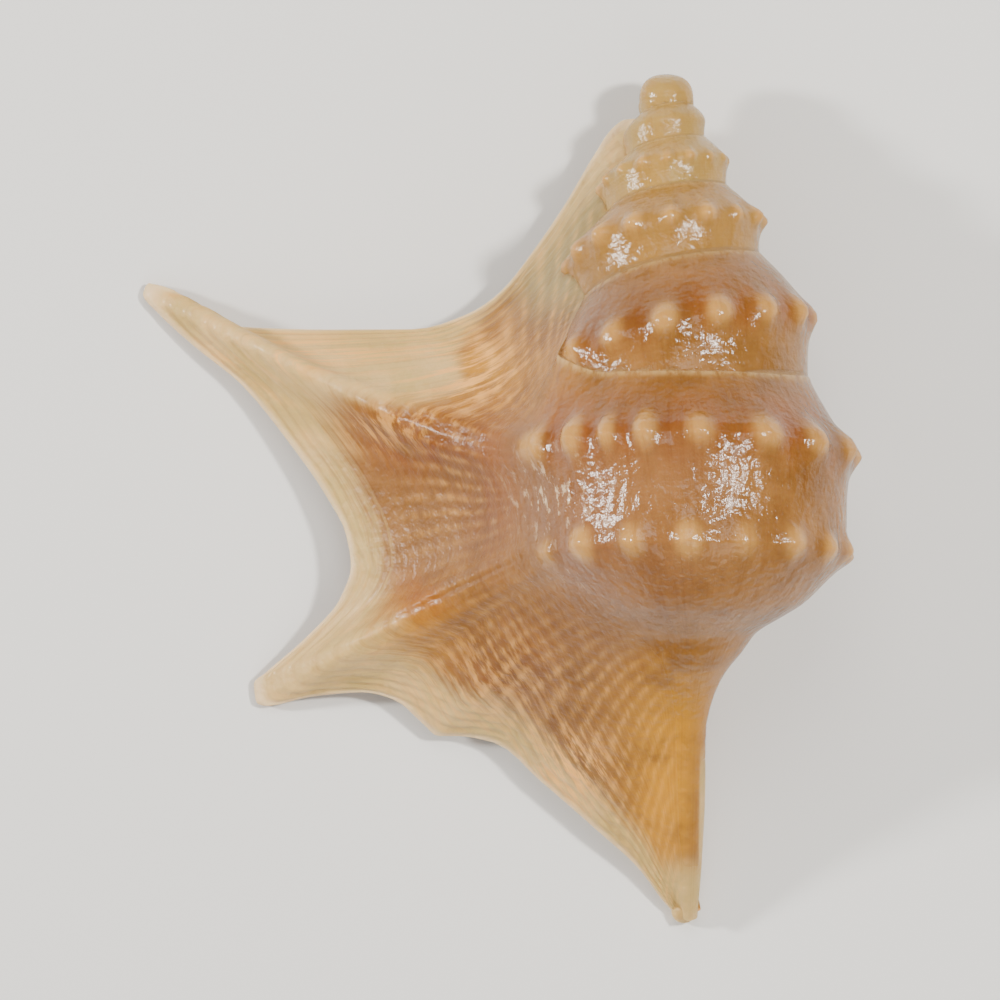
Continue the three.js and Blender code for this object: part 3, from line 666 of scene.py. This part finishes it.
# %% [markdown]
# ## The glaze
#
# Beside the mouth the snail lays a thin pad of glaze over the last turn. It is a small grid of its
# own with a second side sunk into the wall, and its borders run out to nothing.

# %% The pad of glaze
GLAZE = 0.45
pad, u, v = grid_piece("glaze", 48, 96)
single_side = len(u)
apply_modifier(pad, "SOLIDIFY", thickness=0.02, offset=-1, use_rim=True)
row = lerp(0.04, 0.95, v)
turn = start_turn(row) - 0.05 + lerp(0.3, 0.16, smoothstep(row, 0.6, 0.85)) * u
ends = smoothstep(row, 0, 0.15) * (1 - smoothstep(row, 0.8, 0.93))
height = (GLAZE + 0.2) * np.sin(np.pi * np.clip(u, 0, 1)) ** 0.7 * ends - 0.2
sunk = np.minimum(0.8, 0.5 * profile(0 * row, row)[1])
upper, under = coil(turn, row, height), coil(turn, row, height - sunk)
put_points(pad, np.concatenate([upper, under]) * 0.001)
for points in (upper, under):
    note(points, turn, row, porcelain=1)
take(pad)
bpy.ops.object.mode_set(mode="EDIT")
bpy.ops.mesh.select_all(action="SELECT")
bpy.ops.mesh.quads_convert_to_tris()
bpy.ops.mesh.normals_make_consistent(inside=False)
bpy.ops.object.mode_set(mode="OBJECT")
print("glaze: open edges and volume in mm3", open_edges(pad))

# %% [markdown]
# ## The worn tip and the end of the siphon
#
# The tip of the spire is worn to a small dome, and the siphon ends in a blunt, rounded point. Each
# is a small sphere, tipped and set into the end of the coil.

# %% Two rounded ends
def rounded_end(name, station, radius, shift=(0, 0, 0), fullness=2.0):
    place = around(station, 0, 0) + np.array(shift)
    deselect()
    bpy.ops.mesh.primitive_uv_sphere_add(segments=48, ring_count=24, radius=radius * 0.001,
                                         location=place * 0.001, rotation=(math.radians(105), 0, 0))
    ball = bpy.context.object
    ball.name = name
    bpy.ops.object.transform_apply(location=False, rotation=False, scale=True)
    points = points_of(ball)
    out = np.hypot(points[:, 0], points[:, 1]) / (radius * 0.001)
    full = (out ** fullness + np.abs(points[:, 2] / (radius * 0.001)) ** fullness) ** (1 / fullness)
    put_points(ball, points / full[:, None])
    bpy.ops.object.transform_apply(location=True, rotation=True, scale=True)
    return ball


crown = rounded_end("worn_tip", 4.25, 1.35, fullness=2.7)
note(points_of(crown) * 1000, FIRST_TURN, 0.1 + 0.1 * bell(points_of(crown)[:, 1] * 1000, 19, 1))
siphon = rounded_end("siphon_end", TIP_STATION - 0.28, 0.62, (-0.12, 0, -0.45))
note(points_of(siphon) * 1000, 0.25, 0.97, 0.95)

# %% [markdown]
# ## One grown shell
#
# The real shell is one piece, so the parts are joined by Boolean modifiers: where they overlap,
# the hidden walls go away and one closed skin is left. A wide block cuts the underside level, the
# way the shell has been worn by lying on it.

# %% Join and level
def boolean(piece, other, operation):
    apply_modifier(piece, "BOOLEAN", operation=operation, object=other, solver=SOLVER)
    bpy.data.objects.remove(other)
    print(operation.lower(), "->", len(piece.data.polygons), "faces, open edges and volume", open_edges(piece))


SOLVER = "MANIFOLD"
shell = strip
shell.name = "grown_shell"
for other in (crown, sheet, pad, siphon):
    boolean(shell, other, "UNION")
deselect()
bpy.ops.mesh.primitive_cube_add(size=1, location=(0, 0, -0.005))
block = bpy.context.object
block.scale = (0.08, 0.09, 0.01)
bpy.ops.object.transform_apply(location=True, rotation=True, scale=True)
boolean(shell, block, "DIFFERENCE")

# %% [markdown]
# Joining makes new points along every cut, so the notes for the finish are handed over to the
# joined skin: each of its points looks up the nearest noted points and takes their values.

# %% Hand the notes over to the joined skin
all_points, all_fields = np.concatenate(noted_points), np.concatenate(noted_fields)
tree = KDTree(len(all_points))
for index, point in enumerate(all_points):
    tree.insert(point, index)
tree.balance()
skin_points = points_of(shell) * 1000
skin_fields = np.empty((len(skin_points), len(FIELDS)))
for index, point in enumerate(skin_points):
    found = tree.find_n(point, 2)
    weights = np.array([1 / (distance + 1e-4) ** 2 for _, _, distance in found])
    rows_found = all_fields[[k for _, k, _ in found]]
    skin_fields[index] = (weights[:, None] * rows_found).sum(0) / weights.sum()
field = {name: skin_fields[:, k] for k, name in enumerate(FIELDS)}


def store(name, values):
    layer = shell.data.attributes.new(name=name, type="FLOAT", domain="POINT")
    layer.data.foreach_set("value", np.asarray(values, np.float32))


for name in FIELDS:
    store(name, field[name])
take(shell)
bpy.ops.object.shade_smooth_by_angle(angle=math.radians(50))
print("joined skin:", len(skin_points), "points,", len(shell.data.polygons), "faces")

# %% [markdown]
# ## Shader maths
#
# Node links are easier to read as sums. `Wire` holds one output socket, and adding, subtracting,
# multiplying or dividing wires adds the Math nodes for it.

# %% Wires
class Wire:
    def __init__(self, tree, socket=None):
        self.tree, self.socket = tree, socket

    def node(self, kind, settings=None, inputs=None, output=0):
        made = self.tree.nodes.new(kind)
        for key, value in (settings or {}).items():
            if key == "stops":
                ramp = made.color_ramp
                while len(ramp.elements) < len(value):
                    ramp.elements.new(0.5)
                for element, (place, color) in zip(ramp.elements, value):
                    element.position = place
                    element.color = color
            else:
                setattr(made, key, value)
        for key, value in (inputs or {}).items():
            if isinstance(value, Wire):
                self.tree.links.new(value.socket, made.inputs[key])
            else:
                made.inputs[key].default_value = value
        return Wire(self.tree, made.outputs[output])

    def math(self, operation, *values):
        return self.node("ShaderNodeMath", {"operation": operation}, dict(enumerate(values)))

    def __add__(self, other):
        return self.math("ADD", self, other)

    def __radd__(self, other):
        return self.math("ADD", other, self)

    def __sub__(self, other):
        return self.math("SUBTRACT", self, other)

    def __rsub__(self, other):
        return self.math("SUBTRACT", other, self)

    def __mul__(self, other):
        return self.math("MULTIPLY", self, other)

    def __rmul__(self, other):
        return self.math("MULTIPLY", other, self)

    def power(self, exponent):
        return self.math("POWER", self, exponent)

    def sine(self):
        return self.math("SINE", self)

    def ease(self, low, high):
        return self.node("ShaderNodeMapRange", {"interpolation_type": "SMOOTHSTEP"},
                         {"Value": self, "From Min": low, "From Max": high})

    def tint(self, under, over):
        return self.node("ShaderNodeMix", {"data_type": "RGBA", "blend_type": "MIX"},
                         {0: self, 6: under, 7: over}, 2)


def read(wire, name):
    return wire.node("ShaderNodeAttribute", {"attribute_name": name}, output=2)


def combine(wire, x, y, z):
    return wire.node("ShaderNodeCombineXYZ", inputs={0: x, 1: y, 2: z})


def noise(wire, place, scale, detail=3.0, rough=0.5):
    return wire.node("ShaderNodeTexNoise", inputs={"Vector": place, "Scale": scale, "Detail": detail,
                                                   "Roughness": rough})


# %% [markdown]
# ## The finish
#
# The shell is salmon brown with cream knobs, amber hollows and a pale margin. It is glossy and a
# little translucent. A painted image would do it, but it would fit this one mesh only. Patterns
# worked out in the material stay sharp at any distance, and the noted fields put them in place.
# The view turns strong colours paler, so `rgb` makes each pigment a little deeper than its name.

# %% Pigments and the fields they follow
def rgb(red, green, blue):
    def linear(c):
        c /= 255
        return c / 12.92 if c <= 0.04045 else ((c + 0.055) / 1.055) ** 2.4
    red, green, blue = linear(red), linear(green), linear(blue)
    return (1.36 * red ** 1.8, 1.0 * green ** 1.14, 1.06 * blue ** 1.36, 1.0)


finish = bpy.data.materials.new("grown_shell_finish")
finish.use_nodes = True
finish.node_tree.nodes.clear()
start = Wire(finish.node_tree)
seen = {name: read(start, name) for name in FIELDS}
coords = start.node("ShaderNodeTexCoord", output=3)
print("fields read by the finish:", ", ".join(FIELDS))

# %% [markdown]
# Three patterns give the surface its life. Threads are a fine wave across the rows, a little
# broken. Growth lines are a noise that is stretched along the rows, so it runs from the suture
# down. A soft mottle in space keeps any one colour from being flat.

# %% Threads, growth lines and mottle
mottle = noise(start, coords, 330.0, 4.0, 0.6)
cloud = noise(start, coords, 120.0, 2.0, 0.5)
grain = noise(start, coords, 2300.0, 2.0, 0.45)
thread_wave = ((seen["threads"] * 0.75 + cloud * 1.6 + mottle * 0.9) * (2 * math.pi)).sine() * 0.5 + 0.5
growth_lines = noise(start, combine(start, seen["growth"] * 2.6, seen["threads"] * 0.06, 0.0), 1.0, 4.0, 0.65)
growth_fine = noise(start, combine(start, seen["growth"] * 7.0, seen["threads"] * 0.22, 4.0), 1.0, 3.0, 0.6)
flakes = noise(start, combine(start, seen["growth"] * 1.6, seen["threads"] * 0.28, 9.0), 1.0, 5.0, 0.7)

# %% [markdown]
# The colours are laid on like thin washes, from the ground up: a mottled brown, pink on the back of
# the last turn, beige on the old turns of the spire, amber in the hollows, gold near the toes and
# pale knobs. Each wash is a mask that tints the colour below it.

# %% The ground colours
BROWN, LIGHT_BROWN = rgb(158, 92, 54), rgb(178, 118, 80)
AMBER, DEEP_AMBER = rgb(164, 76, 14), rgb(140, 56, 8)
GOLD, BEIGE, KHAKI = rgb(208, 150, 30), rgb(192, 146, 92), rgb(190, 152, 104)
KNOB, PINK, PEARL = rgb(212, 168, 112), rgb(170, 106, 92), rgb(182, 154, 118)

color = mottle.ease(0.32, 0.68).tint(BROWN, LIGHT_BROWN)
color = (seen["pink"] * cloud.ease(0.2, 0.6)).tint(color, PINK)
old_turns = (seen["spire"].ease(0.5, 1.0) * mottle.ease(0.3, 0.7)).tint(BEIGE, KHAKI)
color = (seen["spire"] * 0.95).tint(color, old_turns)
hollow_color = cloud.ease(0.4, 0.65).tint(AMBER, DEEP_AMBER)
color = (seen["amber"] * mottle.ease(0.25, 0.6)).tint(color, hollow_color)
color = (seen["gold"] * mottle.ease(0.2, 0.6)).tint(color, GOLD)
color = (seen["pearl"] * 0.8).tint(color, PEARL)
color = (seen["knob"].ease(0.1, 0.85) * (0.62 + seen["pink"] * 0.1)).tint(color, KNOB)

# %% [markdown]
# Newer shell is paler. The margin of the lip is cream, with an uneven border that follows the
# growth lines, and flakes of it lie on the fan of threads. The rolled rim and the suture are pale.
# Pale flecks on the back of the last turn are painted highlights, the glints of the lamps.

# %% The pale parts
CREAM, DULL_CREAM = rgb(216, 190, 144), rgb(204, 176, 126)
PALE, BLOTCH = rgb(226, 210, 180), rgb(232, 188, 120)
uneven = (growth_lines - 0.5) * 1.1 + (flakes - 0.5) * 0.8
cream_mask = (seen["cream"] + uneven * seen["lip"]).ease(0.1, 0.9)
color = (cream_mask * 0.92).tint(color, mottle.ease(0.35, 0.65).tint(CREAM, DULL_CREAM))
color = (seen["blotch"] * flakes.ease(0.46, 0.58)).tint(color, BLOTCH)
broken = flakes.ease(0.36, 0.68) * cloud.ease(0.3, 0.65)
fan_crest = thread_wave.power(2.0) * seen["lip"].ease(0.1, 0.35) * broken
color = (fan_crest * 0.4).tint(color, BLOTCH)
# painted highlight: pale scratch-like flecks standing in for the lamps' glints
color = (seen["fleck"] * flakes.ease(0.54, 0.64) * 0.8).tint(color, PALE)
color = (seen["suture"] * flakes.ease(0.3, 0.6) * 0.5).tint(color, CREAM)
color = (seen["rim"] * 0.7).tint(color, PALE)

# %% [markdown]
# Painted shade darkens the grooves of the relief: the low parts of the growth lines and the troughs
# between the threads, where the bump sinks. The darker colour is the same colour times a brown, with
# Vector Math, because a Math node would turn it grey. Last come the glaze and the inside, which are
# smooth and plain.

# %% Painted shade in the grooves, glaze and inside
INNER, PORCELAIN = rgb(196, 140, 96), rgb(214, 172, 124)
# painted shade: a darker copy of the colour, laid into the grooves of the relief
painted_shade_color = start.node("ShaderNodeVectorMath", {"operation": "MULTIPLY"}, {0: color, 1: (0.72, 0.6, 0.48)})
on_lip = seen["lip"].ease(0.05, 0.3)
# painted shade in the troughs between the threads and in the low parts of the growth lines, where the bump's
# grooves lie
thread_groove_shade = (1 - thread_wave) * (0.12 + on_lip * 0.26) * growth_fine.ease(0.3, 0.6)
painted_groove_shade = (1 - growth_lines.ease(0.3, 0.55)) * 0.4 + thread_groove_shade * (1 - seen["cream"] * 0.6)
color = (painted_groove_shade * (1 - seen["rim"])).tint(color, painted_shade_color)
color = (seen["porcelain"] * 0.7).tint(color, PORCELAIN)
color = seen["inside"].ease(0.3, 0.9).tint(color, mottle.ease(0.3, 0.7).tint(INNER, PORCELAIN))

# %% [markdown]
# The relief that is too fine for the mesh goes into a bump, in millimetres: threads, growth lines
# and a fine grain of dents. It could be real geometry, but that would take millions of faces. The
# dents break the lamps' reflections into small sparkles, as on the real shell. Light also goes a
# little way into the shell, which is what subsurface scattering is for.

# %% Gloss and fine relief
outer = 1 - seen["inside"].ease(0.3, 0.9)
fine = 1 - seen["knob"].ease(0.2, 0.8) * 0.6
height = thread_wave * 0.0025 * fine + growth_lines * 0.02 + growth_fine * 0.006 + grain * 0.1 + flakes * 0.03
bump = start.node("ShaderNodeBump", None, {"Strength": 1.0, "Distance": 0.001, "Height": height * outer})
roughness = 0.13 + mottle * 0.12 + seen["cream"] * 0.16 + seen["lip"].ease(0.05, 0.3) * 0.18

shader = finish.node_tree.nodes.new("ShaderNodeBsdfPrincipled")
output = finish.node_tree.nodes.new("ShaderNodeOutputMaterial")
for wire, name in ((color, "Base Color"), (roughness, "Roughness"), (bump, "Normal")):
    finish.node_tree.links.new(wire.socket, shader.inputs[name])
finish.node_tree.links.new(shader.outputs[0], output.inputs[0])
for name, value in {"IOR": 1.5, "Specular IOR Level": 0.38, "Coat Weight": 0.05, "Coat Roughness": 0.12,
                    "Subsurface Weight": 0.12, "Subsurface Radius": (1.0, 0.45, 0.2),
                    "Subsurface Scale": 0.0012}.items():
    shader.inputs[name].default_value = value
shell.data.materials.clear()
shell.data.materials.append(finish)
print("the finish has", len(finish.node_tree.nodes), "nodes")

# %% [markdown]
# ## Floor, light and camera
#
# A shell is best shown on plain paper. The floor is a large pale plane.

# %% The paper floor
deselect()
bpy.ops.mesh.primitive_plane_add(size=3, location=(0, 0, 0))
floor = bpy.context.object
floor.name = "floor"
paper = bpy.data.materials.new("pale_paper")
paper.use_nodes = True
paper.node_tree.nodes["Principled BSDF"].inputs["Base Color"].default_value = (0.8, 0.8, 0.79, 1)
paper.node_tree.nodes["Principled BSDF"].inputs["Roughness"].default_value = 0.9
floor.data.materials.append(paper)

# %% [markdown]
# Two small lamps, low on the left and high on the right, give the bright sparkles of a glossy
# shell. Two large ones fill the shadows softly from behind the spire and from the front. A sun
# would be simpler, but its one hard shadow would hide the lower keel.

# %% Lamps
def softbox(name, place, size, watts):
    bpy.ops.object.light_add(type="AREA", location=place)
    lamp = bpy.context.object
    lamp.name = name
    lamp.data.shape = "DISK"
    lamp.data.size = size
    lamp.data.energy = watts
    lamp.data.color = (1, 0.96, 0.9)
    aim = Vector((0.004, 0, 0.008)) - Vector(place)
    lamp.rotation_euler = aim.to_track_quat("-Z", "Y").to_euler()
    return lamp


softbox("left_lamp", (-0.30, 0.06, 0.16), 0.045, 1.4)
softbox("right_lamp", (0.20, 0.06, 0.32), 0.04, 1.5)
softbox("top_lamp", (0.0, 0.30, 0.50), 0.30, 1.0)
softbox("front_lamp", (0.06, -0.40, 0.36), 0.40, 0.9)
world = bpy.context.scene.world or bpy.data.worlds.new("room")
bpy.context.scene.world = world
world.use_nodes = True
world.node_tree.nodes["Background"].inputs["Color"].default_value = (1, 0.99, 0.96, 1)
world.node_tree.nodes["Background"].inputs["Strength"].default_value = 0.3

# %% [markdown]
# The photo was taken from straight above, and from far away compared with the shell's height. A
# long lens does the same: it looks down the Z axis and sees a frame of 49 mm.

# %% Camera
FRAME_WIDTH = 0.04912
LENS, SENSOR = 500.0, 36.0
distance = FRAME_WIDTH * LENS / SENSOR
bpy.ops.object.camera_add(location=(0.00005, 0, 0.008 + distance), rotation=(0, 0, 0))
camera = bpy.context.object
camera.data.lens = LENS
camera.data.sensor_width = SENSOR
camera.data.clip_start, camera.data.clip_end = 0.01, 20
bpy.context.scene.camera = camera
print("camera", round(distance, 3), "m above the middle of the shell")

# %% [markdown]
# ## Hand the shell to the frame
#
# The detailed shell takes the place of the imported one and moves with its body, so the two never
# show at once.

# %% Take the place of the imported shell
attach(shell, "root")
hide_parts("shell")
